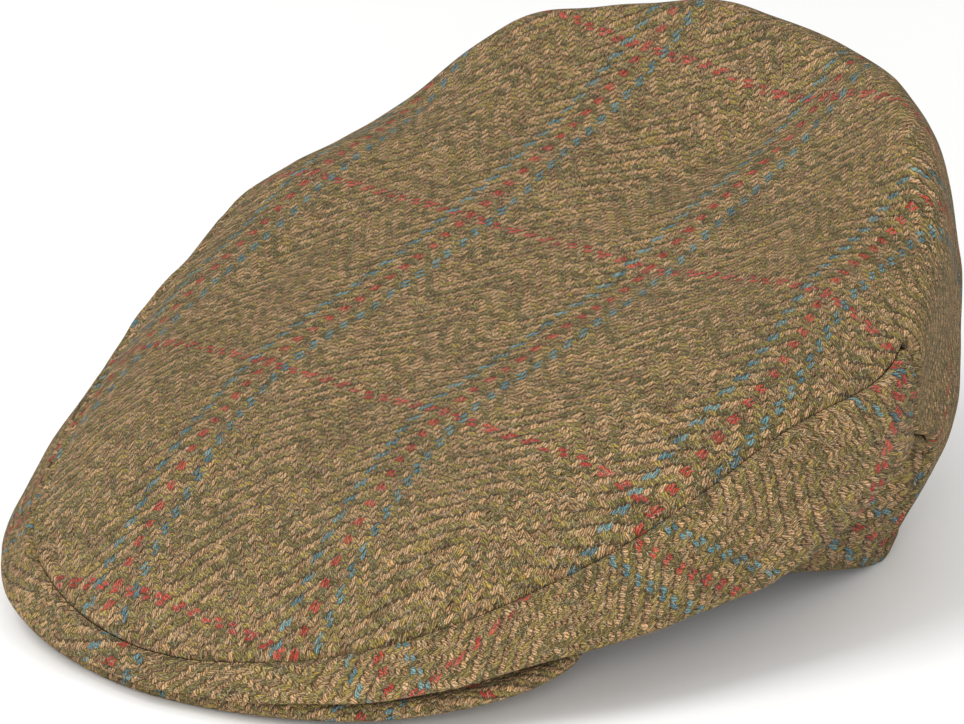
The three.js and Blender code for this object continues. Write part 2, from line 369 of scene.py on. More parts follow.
def path_length(points: np.ndarray) -> np.ndarray:
    """Length of the way along a grid's second axis, from its start."""
    steps = np.linalg.norm(np.diff(points, axis=1), axis=-1)
    return np.concatenate([np.zeros((len(points), 1)), np.cumsum(steps, axis=1)], axis=1)


def relaxed(points: np.ndarray, flat: np.ndarray, rounds: int = 100) -> np.ndarray:
    """Lays a grid of cloth out flat: its threads pull until each has its real length again.

    Args:
        points: The grid on the cap, in millimetres.
        flat: A first guess of its flat places. The first row of the second axis is held.
        rounds: How many times the threads pull.

    Returns:
        The flat places.
    """
    flat = flat.copy()
    pairs = []
    for dx, dy in ((1, 0), (0, 1), (1, 1), (1, -1)):
        a = (slice(0, -dx or None), slice(max(0, -dy), -dy if dy > 0 else None))
        b = (slice(dx, None), slice(max(0, dy), dy if dy < 0 else None))
        pairs.append((a, b, np.linalg.norm(points[a] - points[b], axis=-1)))
    for _ in range(rounds):
        pull = np.zeros_like(flat)
        for a, b, length in pairs:
            gap = flat[b] - flat[a]
            now = np.maximum(np.linalg.norm(gap, axis=-1), 1e-6)
            shift = gap * ((now - length) / now)[..., None] * 0.11
            pull[a] += shift
            pull[b] -= shift
        pull[:, 0] = 0
        flat += pull
    return flat


@dataclass
class Panel:
    """What the two cloth panels of the crown have in common: seams, hem, thickness and fine unevenness."""

    form: CapForm
    detail: Detail
    welt: float = 0.55
    groove: float = 0.9
    pull: float = 1.8
    corner_gap: float = 0.9
    hem_turn: float = 8.0

    def seam_relief(self, distance: np.ndarray) -> np.ndarray:
        """Height of the cloth beside a sewn seam, at a distance from it in mm: it rolls in, then stands up a little."""
        return self.welt * bump(distance - 2.4, 1.3) - self.groove * bump(distance, 0.9)

    def hem_relief(self, distance: np.ndarray) -> np.ndarray:
        """Height of the cloth beside the hem, at a distance from it in mm: a turned edge and its stitch line."""
        turned = 0.5 * smooth((self.hem_turn - distance) / 0.8) * smooth(distance / 1.5)
        return turned - 0.35 * bump(distance - self.hem_turn - 0.3, 0.7)

    def edge_distances(self, station: np.ndarray, roll: np.ndarray) -> tuple[np.ndarray, np.ndarray, np.ndarray]:
        """How far each place is from the seam line, the nearer corner seam and the hem.

        Args:
            station: Stations, from -6 to 12.
            roll: Rolls, in an array of the same shape.

        Returns:
            Three arrays of distances in millimetres.
        """
        around, down, _ = self.form.directions(station, roll)
        onwards = np.mod(station, 12.0)
        corner = np.minimum(np.abs(onwards - 4.0), np.abs(onwards - 8.0)) * np.linalg.norm(around, axis=-1)
        speed = np.linalg.norm(down, axis=-1)
        uneven = ripples(self.form.face(station, roll), 7, 0.3, SEED + 2)
        return np.abs(roll - 1.0) * speed + uneven, corner + uneven, (4.0 - roll) * speed

    def pulled_in(self, station: np.ndarray, roll: np.ndarray) -> np.ndarray:
        """How far the cloth is drawn in beside the corner seam."""
        return -self.pull * bump(self.edge_distances(station, roll)[1], 2.0)

    def cloth(
        self, station: np.ndarray, roll: np.ndarray, relief: np.ndarray, bend: np.ndarray
    ) -> tuple[np.ndarray, np.ndarray]:
        """Outer and inner face of the panel.

        Args:
            station: Stations.
            roll: Rolls, in an array of the same shape.
            relief: Height of the worked cloth above the plain form, in millimetres.
            bend: How far the whole thickness stands out of the plain form, in millimetres.

        Returns:
            Points of the outer and of the inner face, in the part's own frame.
        """
        point = self.form.face(station, roll)
        _, _, out = self.form.directions(station, roll)
        out[roll < 0.004] = unit(np.array([0, -self.form.top_fall / self.form.crown_length, 1.0]))
        quiet = smooth((4.0 - roll) / 0.25)
        relief = relief + quiet * (ripples(point, 34, 0.28, SEED) + ripples(point, 15, 0.09, SEED + 1))
        outer = point + out * (relief + bend)[..., None]
        inner = point + out * (bend - self.form.cloth)[..., None]
        floor = self.form.ground(station, point[..., 1]) * (roll >= 3.999)
        outer[..., 2] = np.where(roll >= 3.999, floor, np.maximum(outer[..., 2], 0.02))
        inner[..., 2] = np.where(roll >= 3.999, floor, np.maximum(inner[..., 2], 0.02))
        return outer, inner

    def shifted(self, points: np.ndarray) -> np.ndarray:
        """Moves points from the part's own frame to the one that it is packed in."""
        return points + (0, self.form.middle_back, 0)


@dataclass
class TopPanel(Panel):
    """The top, with the back of the crown down to the hem between the corner seams."""

    stitch_back: float = 4.3
    front_drift: float = 11.0
    middle_drift: float = 8.5
    far_drift: float = 3.0
    near_drift: float = 12.0
    front_lift: float = 5.5
    warp_shift: float = 27.0
    weft_shift: float = -12.0

    def flat_top(self, points: np.ndarray) -> np.ndarray:
        """Where the cloth of the top lies on the bolt, in mm: its threads run front to back and side to side."""
        slope = self.form.top_fall / self.form.crown_length
        x, along = points[..., 0], points[..., 1] * math.hypot(1, slope)
        drift = self.front_drift * bump(along + 155, 34) - self.middle_drift * bump(along + 62, 38)
        drift = drift * smooth((95 - np.abs(x)) / 60) - self.far_drift * bump(x + 30, 30)
        drift = drift - self.near_drift * smooth((along + 20) / 60) * smooth((x - 55) / 35)
        lift = self.near_drift * smooth((x - 40) / 60) * smooth((along + 100) / 110) * smooth((75 - along) / 50)
        lift = lift - self.front_lift * smooth((-90 - along) / 50)
        return np.stack([x + self.warp_shift - drift, along + self.weft_shift - lift], -1)

    def flat_back(self, station: np.ndarray, roll: np.ndarray) -> np.ndarray:
        """The flat places of the back of the crown, which carries on from the top."""
        coarse_s, coarse_r = np.meshgrid(np.linspace(4, 8, 41), np.linspace(1, 4, 25), indexing="ij")
        points = self.form.face(coarse_s, coarse_r)
        start = self.flat_top(points[:, :1])
        run = np.gradient(start[:, 0], axis=0)
        spread = np.arctan2(run[:, 1], -run[:, 0])[:, None] * 0.6
        guess = start + path_length(points)[..., None] * np.stack([np.sin(spread), np.cos(spread)], -1)
        flat = relaxed(points, guess)
        s, r = (station - 4) * 10, (roll - 1) * 8
        s0, r0 = np.clip(s.astype(int), 0, 39), np.clip(r.astype(int), 0, 23)
        fs, fr = (s - s0)[..., None], (r - r0)[..., None]
        near = flat[s0, r0] * (1 - fr) + flat[s0, r0 + 1] * fr
        far = flat[s0 + 1, r0] * (1 - fr) + flat[s0 + 1, r0 + 1] * fr
        return near * (1 - fs) + far * fs

    def relief(self, station: np.ndarray, roll: np.ndarray) -> np.ndarray:
        """Seam, top stitching and hem of the panel."""
        seam, corner, hem = self.edge_distances(station, roll)
        onwards = np.mod(station, 12.0)
        in_front = smooth((np.abs(onwards - 6.0) - 1.9) / 0.12)
        front = self.seam_relief(seam) - 0.45 * bump(seam - self.stitch_back, 0.6)
        height = np.where(roll <= 1.0, front * in_front, 0.0)
        height = height + np.where(roll > 1.0, self.seam_relief(corner) + self.hem_relief(hem), 0.0)
        return height

    def build(self, finish: bpy.types.Material) -> bpy.types.Object:
        """Makes the panel.

        Args:
            finish: Its tweed.

        Returns:
            The piece.
        """
        steps = self.detail.value
        cloth = ClothMesh()
        stations = np.linspace(-4, 8, 12 * steps + 1)[:-1]
        rolls = np.concatenate([np.linspace(0.02, 0.93, steps + 6), np.linspace(0.94, 1, 14)])
        station, roll = np.meshgrid(stations, rolls, indexing="ij")
        gap = self.form.seam_gap / 2 / np.linalg.norm(self.form.directions(station, 1 + 0 * roll)[1], axis=-1)
        in_front = np.abs(np.mod(station, 12.0) - 6.0) >= 2.0
        roll = roll * (1 - gap * in_front)
        outer, inner = self.cloth(station, roll, self.relief(station, roll), 0 * roll)
        flat = self.flat_top(self.form.face(station, roll))
        top = cloth.add_grid(self.shifted(outer), flat)
        under = cloth.add_grid(self.shifted(inner), flat)
        top, under = np.vstack([top, top[:1]]), np.vstack([under, under[:1]])
        cloth.weave(top, flip=True, shown=True)
        cloth.weave(under)
        for ring, flip in ((top, False), (under, True)):
            middle_point = self.shifted(self.form.face(np.zeros((1, 1)), np.zeros((1, 1))))
            middle_point[..., 2] -= self.form.cloth * flip
            middle = cloth.add_grid(middle_point, self.flat_top(middle_point - (0, self.form.middle_back, 0)))
            fan = np.stack([np.full(len(ring), middle[0, 0]), ring[:, 0]], 1)
            cloth.weave(fan, flip=not flip)

        inside = 8 * steps
        back_stations = np.linspace(4, 8, 4 * steps + 1)
        back_rolls = np.linspace(1, 4, int(1.6 * steps) + 1)
        station, roll = np.meshgrid(back_stations, back_rolls, indexing="ij")
        seam_side = self.corner_gap / 2 / np.linalg.norm(self.form.directions(station, roll)[0], axis=-1)
        ease = smooth((roll - 1) * 20)
        station = 6 + (station - 6) * (1 - seam_side / 2 * ease)
        start = smooth((roll - 1) * 8)
        outer, inner = self.cloth(station, roll, self.relief(station, roll) * start, self.pulled_in(station, roll) * start)
        flat = self.flat_back(station, roll)
        drop = cloth.add_grid(self.shifted(outer[:, 1:]), flat[:, 1:])
        lining = cloth.add_grid(self.shifted(inner[:, 1:]), flat[:, 1:])
        rim = np.concatenate([np.arange(inside, 12 * steps), [0]])
        drop = np.concatenate([top[rim, -1:], drop], 1)
        lining = np.concatenate([under[rim, -1:], lining], 1)
        cloth.weave(drop, flip=True, shown=True)
        cloth.weave(lining)
        cloth.weave(np.stack([drop[:, -1], lining[:, -1]], 1), flip=True)
        for side, flip in ((0, False), (-1, True)):
            cloth.weave(np.stack([drop[side], lining[side]], 0), flip=flip)
        front = np.arange(0, inside + 1)
        cloth.weave(np.stack([top[front, -1], under[front, -1]], 1), flip=True)
        cloth.add_nap("top_panel_nap", 20 * steps**2, WoolHair().build())
        piece = cloth.finish("top_panel_cloth", "tweed_top", "top_panel")
        piece.data.materials.append(finish)
        return piece


@dataclass
class SidePanel(Panel):
    """The strip over the peak and both sides, from the seam over the fold to the hem."""

    lip: float = 3.0
    crease: float = 7.0
    fold_at: float = 45.0

    def flat_strip(self, station: np.ndarray, points: np.ndarray) -> np.ndarray:
        """Where the strip's cloth lies on the bolt: a curved band that turns away from the threads towards the back."""
        table = np.array(GRAIN_ROWS, dtype=float)
        fine = np.linspace(0, 4, 81)
        stations = table[:, 0]
        across, along, turn = (np.interp(fine, stations, table[:, k]) for k in (1, 2, 3))
        kernel = np.hanning(25) / np.hanning(25).sum()
        soft = [np.convolve(np.pad(v, 12, mode="reflect", reflect_type="odd"), kernel, "valid") for v in (across, along, turn)]
        away = np.abs(station)
        side = np.where(station < 0, -1.0, 1.0)
        u, v, angle = (np.interp(away, fine, values) for values in soft)
        length = path_length(points)
        upper = np.minimum(length, self.fold_at)
        lower = length - upper
        angle = np.radians(angle)
        under = angle * (1 - 0.4 * smooth(away / 2 - 1))
        start = table[0, 1]
        u = u - start - np.sin(angle) * upper - np.sin(under) * lower
        return np.stack([start + side * u, v - np.cos(angle) * upper - np.cos(under) * lower], -1)

    def relief(self, station: np.ndarray, roll: np.ndarray) -> np.ndarray:
        """Seams and hem of the panel."""
        seam, corner, hem = self.edge_distances(station, roll)
        return self.seam_relief(seam) + self.seam_relief(corner) + self.hem_relief(hem)

    def overhang(self, station: np.ndarray, roll: np.ndarray) -> np.ndarray:
        """How far the cloth near the corner seam hangs over its tucked band, and is drawn in under it."""
        away = np.abs(station)
        near_corner = smooth((away - 2.5) / 0.6) * smooth((4.05 - away) / 0.3)
        recess = smooth((roll - 2.08) / 0.15) * smooth((3.7 - roll) / 0.9)
        return near_corner * (self.lip * bump(roll - 1.95, 0.28) - self.crease * recess)

    def build(self, finish: bpy.types.Material) -> bpy.types.Object:
        """Makes the panel.

        Args:
            finish: Its tweed.

        Returns:
            The piece.
        """
        steps = self.detail.value
        cloth = ClothMesh()
        stations = np.linspace(-4, 4, 8 * steps + 1)
        rolls = np.concatenate([np.linspace(1, 1.18, 14), np.linspace(1.2, 4, int(1.6 * steps))])
        station, roll = np.meshgrid(stations, rolls, indexing="ij")
        around, down, _ = self.form.directions(station, roll)
        station = station * (1 - self.corner_gap / 8 / np.linalg.norm(around, axis=-1))
        gap = self.form.seam_gap / 2 / np.linalg.norm(down, axis=-1)
        roll = roll + gap * np.clip(1.1 - roll, 0, 0.1) * 10
        points = self.form.face(station, roll)
        bend = self.overhang(station, roll) + self.pulled_in(station, roll)
        outer, inner = self.cloth(station, roll, self.relief(station, roll), bend)
        flat = self.flat_strip(station, points)
        face = cloth.add_grid(self.shifted(outer), flat)
        lining = cloth.add_grid(self.shifted(inner), flat)
        cloth.weave(face, flip=True, shown=True)
        cloth.weave(lining)
        cloth.weave(np.stack([face[:, -1], lining[:, -1]], 1), flip=True)
        cloth.weave(np.stack([face[:, 0], lining[:, 0]], 1))
        cloth.weave(np.stack([face[0], lining[0]], 0))
        cloth.weave(np.stack([face[-1], lining[-1]], 0), flip=True)
        cloth.add_nap("side_panel_nap", 14 * steps**2, WoolHair().build())
        piece = cloth.finish("side_panel_cloth", "tweed_side", "side_panel")
        piece.data.materials.append(finish)
        return piece


@dataclass
class Peak:
    """The crescent board under the strip, with cloth wrapped round its edge."""

    form: CapForm
    detail: Detail
    warp_shift: float = -2.7
    weft_shift: float = 30.0
    stitch_in: float = 5.0

    def outer_edge(self, share: np.ndarray) -> np.ndarray:
        """Points of the outer edge, from the far tip (share 0) to the near one (share 1)."""
        rows = np.array(PEAK_ROWS, dtype=float) * (self.form.peak_width / 2, self.form.peak_length)
        knots = np.vstack([rows[1:][::-1] * (-1, 1), rows])
        last = len(knots) - 1
        place = share * last
        first = np.clip(np.floor(place).astype(int), 0, last - 1)
        t = (place - first)[..., None]
        before, start, end, after = (knots[np.clip(first + k, 0, last)] for k in (-1, 0, 1, 2))
        bend = 2 * before - 5 * start + 4 * end - after + t * (3 * (start - end) + after - before)
        return start + 0.5 * t * (end - before + t * bend)

    def build(self, finish: bpy.types.Material) -> bpy.types.Object:
        """Makes the peak.

        Args:
            finish: Its tweed.

        Returns:
            The piece.
        """
        form = self.form
        share = np.linspace(0, 1, 6 * self.detail.value + 1)
        rim = self.outer_edge(share)
        hem = form.line(HEM_ROWS, (share * 2 - 1) * 2.0, form.head_width, form.head_length, 0.0)[:, :2]
        width = np.linalg.norm(rim - hem, axis=-1)
        out = unit(rim - hem)
        radius = form.peak_thickness / 2
        inwards = np.concatenate([np.linspace(1, 0.25, 14)[:-1], np.linspace(0.25, 0, 16)])
        turn = np.linspace(math.pi / 2, -math.pi / 2, 11)
        depth = [w * (width - radius) for w in inwards] + [0 * width for _ in turn[1:-1]]
        depth += [w * (width - radius) for w in inwards[::-1]]
        angle = [math.pi / 2] * len(inwards) + list(turn[1:-1]) + [-math.pi / 2] * len(inwards)
        depth, angle = np.stack(depth, 1), np.array(angle)[None, :]
        reach = radius * np.cos(angle) - depth - radius
        stitch = bump(depth + radius - self.stitch_in, 0.7)[..., None]
        place = rim[:, None] + out[:, None] * reach[..., None]
        top = form.peak_top(place[..., 1])
        z = top - radius + (radius - 0.3 * stitch[..., 0]) * np.sin(angle)
        wrapped = radius * (math.pi / 2 - angle) + np.where(angle < 0, depth, -depth) * (np.abs(angle) > 1.57)
        flat = (rim - out * radius)[:, None] + out[:, None] * wrapped[..., None]
        points = np.concatenate([place, z[..., None]], -1) + (0, form.middle_back, 0)
        cloth = ClothMesh()
        board = cloth.add_grid(points, flat + (self.warp_shift, self.weft_shift))
        cloth.weave(board, shown=True)
        cloth.weave(np.stack([board[:, -1], board[:, 0]], 1))
        for end, flip in ((board[0], True), (board[-1], False)):
            half = len(end) // 2
            cloth.weave(np.stack([end[: half + 1], end[::-1][: half + 1]], 0), flip=flip)
        piece = cloth.finish("peak_cloth", "tweed_peak", "peak")
        piece.data.materials.append(finish)
        return piece


Source = bpy.types.NodeSocket | bpy.types.Node | float | tuple


def add(tree: bpy.types.NodeTree, kind: str, links: dict[int | str, Source] | None = None, **settings: object) -> bpy.types.Node:
    """Adds a node to a material.

    Args:
        tree: The material's node tree.
        kind: Blender's name for the node.
        links: What goes into its inputs: another node's first output, a socket, a number or a colour.
        settings: Its other settings.

    Returns:
        The node.
    """
    node = tree.nodes.new(kind)
    for name, value in settings.items():
        setattr(node, name, value)
    for key, value in (links or {}).items():
        if isinstance(value, bpy.types.Node):
            tree.links.new(value.outputs[0], node.inputs[key])
        elif isinstance(value, bpy.types.NodeSocket):
            tree.links.new(value, node.inputs[key])
        else:
            node.inputs[key].default_value = value
    return node


@dataclass(frozen=True)
class Yarns:
    """Colours of the yarns that are spun together on one side of the weave, with the share at which each starts."""

    shades: tuple[tuple[float, str], ...]

    def ramp(self, tree: bpy.types.NodeTree, choice: bpy.types.Node) -> bpy.types.Node:
        """A colour ramp over the shades, read at choice."""
        node = add(tree, "ShaderNodeValToRGB", {0: choice})
        stops = node.color_ramp.elements
        while len(stops) < len(self.shades):
            stops.new(1.0)
        for stop, (place, shade) in zip(stops, self.shades):
            stop.position = place
            stop.color = linear(shade)
        return node


@dataclass(frozen=True)
class WoolTweed:
    """Carded wool tweed in a 2/2 herringbone, with a windowpane check.

    The tan warp and the olive weft float over two threads at a time. That gives the eye slanted strokes which
    change direction every twelve ends, and no gloss. Between the floats, and at their edges, the other yarn below
    shows, darkened towards dark brown as painted shade. Blue and red ends, and single red picks,
    draw the check as rows of dashes.
    """

    name: str
    pitch: float = 1.35
    ends_each_way: int = 12
    pane_ends: int = 48
    pane_picks: int = 56
    twist: float = -0.3
    ply_turns: float = 1.3
    roughness: float = 0.92
    ior: float = 1.5
    warp: Yarns = Yarns(((0.0, "6a4a2e"), (0.22, "8e6846"), (0.48, "ac845a"), (0.7, "c29a70"), (0.9, "dcb88c"), (1.0, "ca8a4c")))
    weft: Yarns = Yarns(((0.0, "3c3e1c"), (0.25, "5a5426"), (0.5, "766c32"), (0.75, "92823c"), (0.92, "ae9a46"), (1.0, "bc923a")))
    red: Yarns = Yarns(((0.1, "962a22"), (0.5, "b83a2e"), (1.0, "cc5a46")))
    blue: Yarns = Yarns(((0.1, "3c606a"), (0.5, "52828c"), (1.0, "7ea09e")))
    # Dark brown that the thread below is mixed towards, as painted shade between the floats and at their edges.
    gap: str = "2a1d0c"
    hair: str = "d4c5a6"

    def build(self) -> bpy.types.Material:
        """Makes the material.

        Returns:
            A material whose colour and relief follow the cloth map.
        """
        material = bpy.data.materials.new(self.name)
        material.use_nodes = True
        tree = material.node_tree
        tree.nodes.clear()
        place = add(tree, "ShaderNodeUVMap", uv_map="cloth")
        in_mm = add(tree, "ShaderNodeVectorMath", {0: place, "Scale": 100.0}, operation="SCALE")
        loose = add(tree, "ShaderNodeTexNoise", {"Vector": in_mm, "Scale": 0.16, "Detail": 1.0}, noise_dimensions="2D")
        uneven = add(tree, "ShaderNodeTexNoise", {"Vector": in_mm, "Scale": 0.75, "Detail": 2.0}, noise_dimensions="2D")
        half = (0.5, 0.5, 0.0)
        sway = add(tree, "ShaderNodeVectorMath", {0: loose.outputs["Color"], 1: half}, operation="SUBTRACT")
        sway = add(tree, "ShaderNodeVectorMath", {0: sway, "Scale": 1.6}, operation="SCALE")
        wobble = add(tree, "ShaderNodeVectorMath", {0: uneven.outputs["Color"], 1: half}, operation="SUBTRACT")
        wobble = add(tree, "ShaderNodeVectorMath", {0: wobble, "Scale": 0.75}, operation="SCALE")
        laid = add(tree, "ShaderNodeVectorMath", {0: in_mm, 1: sway}, operation="ADD")
        laid = add(tree, "ShaderNodeVectorMath", {0: laid, 1: wobble}, operation="ADD")
        threads = add(tree, "ShaderNodeVectorMath", {0: laid, "Scale": 1 / self.pitch}, operation="SCALE")
        offset = (20.0 * self.pane_ends + 0.0, 20.0 * self.pane_picks, 0.0)
        threads = add(tree, "ShaderNodeVectorMath", {0: threads, 1: offset}, operation="ADD")
        split = add(tree, "ShaderNodeSeparateXYZ", {0: threads})
        u, v = split.outputs[0], split.outputs[1]
        end, pick = add(tree, "ShaderNodeMath", {0: u}, operation="FLOOR"), add(tree, "ShaderNodeMath", {0: v}, operation="FLOOR")
        across_end, across_pick = add(tree, "ShaderNodeMath", {0: u}, operation="FRACT"), add(tree, "ShaderNodeMath", {0: v}, operation="FRACT")

        # Herringbone: the step of the twill climbs for twelve ends and falls for twelve
        middle = add(tree, "ShaderNodeMath", {0: end, 1: 0.5}, operation="ADD")
        step = add(tree, "ShaderNodeMath", {0: middle, 1: float(self.ends_each_way)}, operation="PINGPONG")
        step = add(tree, "ShaderNodeMath", {0: step, 1: 0.5}, operation="SUBTRACT")
        in_repeat = add(tree, "ShaderNodeMath", {0: middle, 1: 2.0 * self.ends_each_way}, operation="FLOORED_MODULO")
        climbing = add(tree, "ShaderNodeMath", {0: in_repeat, 1: float(self.ends_each_way)}, operation="LESS_THAN")
        order = add(tree, "ShaderNodeMath", {0: pick, 1: step}, operation="ADD")
        phase = add(tree, "ShaderNodeMath", {0: order, 1: 4.0}, operation="FLOORED_MODULO")
        warp_up = add(tree, "ShaderNodeMath", {0: phase, 1: 1.5}, operation="LESS_THAN")

        # Place along the float, from 0 to 1, and across the yarn
        warp_along = add(tree, "ShaderNodeMath", {0: phase, 1: across_pick}, operation="ADD")
        weft_up = add(tree, "ShaderNodeMath", {0: phase, 1: across_end}, operation="ADD")
        weft_up = add(tree, "ShaderNodeMath", {0: weft_up, 1: 2.0}, operation="SUBTRACT")
        weft_down = add(tree, "ShaderNodeMath", {0: 3.0, 1: phase}, operation="SUBTRACT")
        weft_down = add(tree, "ShaderNodeMath", {0: weft_down, 1: across_end}, operation="ADD")
        weft_along = add(tree, "ShaderNodeMix", {0: climbing, 2: weft_down, 3: weft_up})
        along = add(tree, "ShaderNodeMix", {0: warp_up, 2: weft_along, 3: warp_along})
        across = add(tree, "ShaderNodeMix", {0: warp_up, 2: across_pick, 3: across_end})
        across = add(tree, "ShaderNodeMath", {0: along, 1: self.twist, 2: across}, operation="MULTIPLY_ADD")
        across = add(tree, "ShaderNodeMath", {0: across, 1: self.twist / 2}, operation="SUBTRACT")
        rise = add(tree, "ShaderNodeMath", {0: along, 1: 1.0}, operation="SUBTRACT")
        rise = add(tree, "ShaderNodeMath", {0: rise}, operation="ABSOLUTE")
        rise = add(tree, "ShaderNodeMath", {0: rise, 1: 2.5}, operation="POWER")
        rise = add(tree, "ShaderNodeMath", {0: 1.0, 1: rise}, operation="SUBTRACT")
        body = add(tree, "ShaderNodeMath", {0: across, 1: 0.5}, operation="SUBTRACT")
        body = add(tree, "ShaderNodeMath", {0: body}, operation="ABSOLUTE")
        body = add(tree, "ShaderNodeMath", {0: body, 1: 1.9}, operation="MULTIPLY")
        body = add(tree, "ShaderNodeMath", {0: body, 1: 2.2}, operation="POWER")
        body = add(tree, "ShaderNodeMath", {0: 1.0, 1: body}, operation="SUBTRACT")
        height = add(tree, "ShaderNodeMath", {0: rise, 1: body}, operation="MULTIPLY")
        thick = add(tree, "ShaderNodeMath", {0: uneven, 1: 2.2, 2: -0.1}, operation="MULTIPLY_ADD")
        height = add(tree, "ShaderNodeMath", {0: height, 1: thick}, operation="MULTIPLY")

        # Two plies wind round each other, which splits every float into finer slanted strokes
        plies = add(tree, "ShaderNodeMath", {0: along, 1: self.ply_turns}, operation="MULTIPLY")
        plies = add(tree, "ShaderNodeMath", {0: across, 1: 2.0, 2: plies}, operation="MULTIPLY_ADD")
        plies = add(tree, "ShaderNodeMath", {0: plies, 1: 0.5}, operation="PINGPONG")
        plies = add(tree, "ShaderNodeMapRange", {0: plies, 1: 0.0, 2: 0.38, 3: 0.05, 4: 1.0}, interpolation_type="SMOOTHSTEP")
        height = add(tree, "ShaderNodeMath", {0: height, 1: plies}, operation="MULTIPLY")

        # Twisted fibres run along each yarn, and long hairs lie over the cloth at random
        warp_fibres = add(tree, "ShaderNodeVectorMath", {0: laid, 1: (3.4, 1.1, 1.0)}, operation="MULTIPLY")
        weft_fibres = add(tree, "ShaderNodeVectorMath", {0: laid, 1: (1.1, 3.4, 1.0)}, operation="MULTIPLY")
        fibres = add(tree, "ShaderNodeMix", {0: warp_up, 4: weft_fibres, 5: warp_fibres}, data_type="VECTOR")
        fibres = add(tree, "ShaderNodeTexNoise", {"Vector": fibres.outputs[1], "Scale": 1.0, "Detail": 2.0, "Roughness": 0.7}, noise_dimensions="2D")
        hairs = []
        for turn, shift in ((35.0, 3.0), (118.0, 17.0), (75.0, 41.0)):
            turned = add(tree, "ShaderNodeVectorRotate", {"Vector": in_mm, "Angle": math.radians(turn)}, rotation_type="Z_AXIS")
            drawn = add(tree, "ShaderNodeVectorMath", {0: turned, 1: (0.55, 4.6, 1.0)}, operation="MULTIPLY")
            drawn = add(tree, "ShaderNodeVectorMath", {0: drawn, 1: (shift, shift, 0.0)}, operation="ADD")
            strand = add(tree, "ShaderNodeTexNoise", {"Vector": drawn, "Scale": 1.0, "Detail": 1.0, "Distortion": 0.6}, noise_dimensions="2D")
            hairs.append(add(tree, "ShaderNodeMapRange", {0: strand, 1: 0.66, 2: 0.76, 3: 0.0, 4: 0.55}))
        hair = add(tree, "ShaderNodeMath", {0: hairs[0], 1: hairs[1]}, operation="MAXIMUM")
        hair = add(tree, "ShaderNodeMath", {0: hair, 1: hairs[2]}, operation="MAXIMUM")

        # Each float has its own shade, and each yarn drifts along its length
        run = add(tree, "ShaderNodeMath", {0: order, 1: 4.0}, operation="DIVIDE")
        run = add(tree, "ShaderNodeMath", {0: run}, operation="FLOOR")
        yarn = add(tree, "ShaderNodeMix", {0: warp_up, 2: pick, 3: end})
        name = add(tree, "ShaderNodeCombineXYZ", {0: yarn, 1: run, 2: warp_up})
        lot = add(tree, "ShaderNodeTexWhiteNoise", {"Vector": name}, noise_dimensions="3D")
        drift_place = add(tree, "ShaderNodeVectorMath", {0: in_mm, 1: (0.11, 0.11, 0.0)}, operation="MULTIPLY")
        drift = add(tree, "ShaderNodeTexNoise", {"Vector": drift_place, "Scale": 1.0, "Detail": 3.0}, noise_dimensions="2D")
        shade = add(tree, "ShaderNodeMath", {0: lot, 1: 0.6}, operation="MULTIPLY")
        shade = add(tree, "ShaderNodeMath", {0: drift, 1: 0.3, 2: shade}, operation="MULTIPLY_ADD")
        grain = add(tree, "ShaderNodeMath", {0: fibres, 1: 2.1, 2: -1.0}, operation="MULTIPLY_ADD")
        shade = add(tree, "ShaderNodeMath", {0: shade, 1: grain}, operation="ADD")

        # The check: blue, red and blue ends, and single red picks
        from_line = add(tree, "ShaderNodeMath", {0: end, 1: self.pane_ends / 2}, operation="ADD")
        from_line = add(tree, "ShaderNodeMath", {0: from_line, 1: float(self.pane_ends)}, operation="FLOORED_MODULO")
        from_line = add(tree, "ShaderNodeMath", {0: from_line, 1: self.pane_ends / 2 - 0.5}, operation="SUBTRACT")
        from_line = add(tree, "ShaderNodeMath", {0: from_line}, operation="ABSOLUTE")
        red_end = add(tree, "ShaderNodeMath", {0: from_line, 1: 1.0}, operation="LESS_THAN")
        blue_end = add(tree, "ShaderNodeMath", {0: from_line, 1: 5.0, 2: 0.8}, operation="COMPARE")
        from_pick = add(tree, "ShaderNodeMath", {0: pick, 1: self.pane_picks / 2}, operation="ADD")
        from_pick = add(tree, "ShaderNodeMath", {0: from_pick, 1: float(self.pane_picks)}, operation="FLOORED_MODULO")
        red_pick = add(tree, "ShaderNodeMath", {0: from_pick, 1: self.pane_picks / 2 - 0.5, 2: 0.8}, operation="COMPARE")
        red = self.red.ramp(tree, shade)
        blue = self.blue.ramp(tree, shade)
        tan, olive = self.warp.ramp(tree, shade), self.weft.ramp(tree, shade)
        stray = add(tree, "ShaderNodeSeparateXYZ", {0: lot.outputs["Color"]})
        stray = add(tree, "ShaderNodeMath", {0: stray.outputs[1], 1: 0.76}, operation="GREATER_THAN")
        stray = add(tree, "ShaderNodeMath", {0: stray, 1: 0.65}, operation="MULTIPLY")
        ground = add(tree, "ShaderNodeMix", {0: stray, 6: tan, 7: olive}, data_type="RGBA")
        warp = add(tree, "ShaderNodeMix", {0: red_end, 6: ground.outputs[2], 7: red}, data_type="RGBA")
        warp = add(tree, "ShaderNodeMix", {0: blue_end, 6: warp.outputs[2], 7: blue}, data_type="RGBA")
        ground = add(tree, "ShaderNodeMix", {0: stray, 6: olive, 7: tan}, data_type="RGBA")
        weft = add(tree, "ShaderNodeMix", {0: red_pick, 6: ground.outputs[2], 7: red}, data_type="RGBA")
        colour = add(tree, "ShaderNodeMix", {0: warp_up, 6: weft.outputs[2], 7: warp.outputs[2]}, data_type="RGBA")
